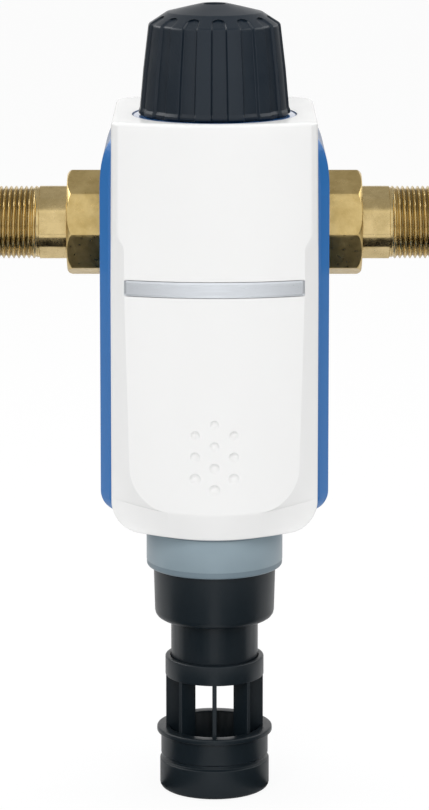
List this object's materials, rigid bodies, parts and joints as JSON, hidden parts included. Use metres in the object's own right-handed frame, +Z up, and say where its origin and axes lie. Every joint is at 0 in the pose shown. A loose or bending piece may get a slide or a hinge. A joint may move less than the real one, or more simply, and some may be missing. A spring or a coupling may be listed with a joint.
{
  "type": "self cleaning water filter",
  "caption": "In-line backwash water filter with a fluted hand knob, white cover on a blue shell, threaded brass unions and an air-gap drain funnel below.",
  "frame": {"origin": "middle of the pipe axis, half way between the two threaded pipe ends", "axes": "+X along the pipe towards the outlet end, -Y out of the front cover, +Z up along the filter's own axis"},
  "size_m": [0.2, 0.1075, 0.3606],
  "materials": {
    "white_plastic": "smooth satin gloss",
    "blue_plastic": "satin",
    "slate_plastic": "satin",
    "charcoal_plastic": "satin",
    "ring_plastic": "satin",
    "natural_plastic": "moulded",
    "clear_plastic": "polished",
    "trim_metal": "brushed bright",
    "brass": "cast and machined",
    "steel": "machined",
    "black_rubber": "matt",
    "fibre": "matt"
  },
  "bodies": {
    "filter_body": {"front_cover": "white_plastic", "trim_strip": "trim_metal", "rear_shell": "blue_plastic", "top_collar": "blue_plastic", "shell_screw_left": "steel", "shell_screw_right": "steel", "filter_head": "brass", "bonnet": "charcoal_plastic", "bonnet_screw_1": "steel", "bonnet_screw_2": "steel", "bonnet_screw_3": "steel", "bonnet_screw_4": "steel", "bonnet_ring": "black_rubber", "filter_bowl": "clear_plastic", "clamp_ring": "charcoal_plastic", "bowl_gasket": "black_rubber", "screen_cage": "natural_plastic", "screen_mesh": "steel", "rotor_bearing": "natural_plastic", "bowl_ring": "ring_plastic", "drain_cup": "charcoal_plastic", "cup_gasket": "black_rubber", "pipe_nipple_left": "brass", "pipe_nipple_right": "brass", "union_gasket_left": "fibre", "union_gasket_right": "fibre"},
    "knob_and_rotor": {"knob": "slate_plastic", "knob_screw": "steel", "spindle": "brass", "spindle_ring_upper": "black_rubber", "spindle_ring_lower": "black_rubber", "suction_rotor": "natural_plastic"},
    "drain_valve": {"drain_plug": "charcoal_plastic", "drain_plug_seal": "black_rubber"},
    "funnel": {"drain_funnel": "charcoal_plastic"},
    "nut_left": {"union_nut_left": "brass"},
    "nut_right": {"union_nut_right": "brass"}
  },
  "joints": [
    {"name": "knob_turn", "type": "hinge", "parent": "filter_body", "child": "knob_and_rotor", "pos_m": [0, -0.026, 0.078], "axis": [0, 0, 1], "range_deg": [0, 720]},
    {"name": "drain_lift", "type": "slide", "parent": "filter_body", "child": "drain_valve", "axis": [0, 0, 1], "range_m": [0, 0.004]},
    {"name": "funnel_swivel", "type": "hinge", "parent": "filter_body", "child": "funnel", "pos_m": [0, -0.026, -0.2], "axis": [0, 0, 1], "continuous": true},
    {"name": "union_left_turn", "type": "hinge", "parent": "filter_body", "child": "nut_left", "pos_m": [-0.055, 0, 0], "axis": [1, 0, 0], "continuous": true},
    {"name": "union_right_turn", "type": "hinge", "parent": "filter_body", "child": "nut_right", "pos_m": [0.055, 0, 0], "axis": [1, 0, 0], "continuous": true}
  ],
  "couplings": [
    {"joint": "drain_lift", "follows": "knob_turn", "m_per_rad": 0.000318}
  ]
}
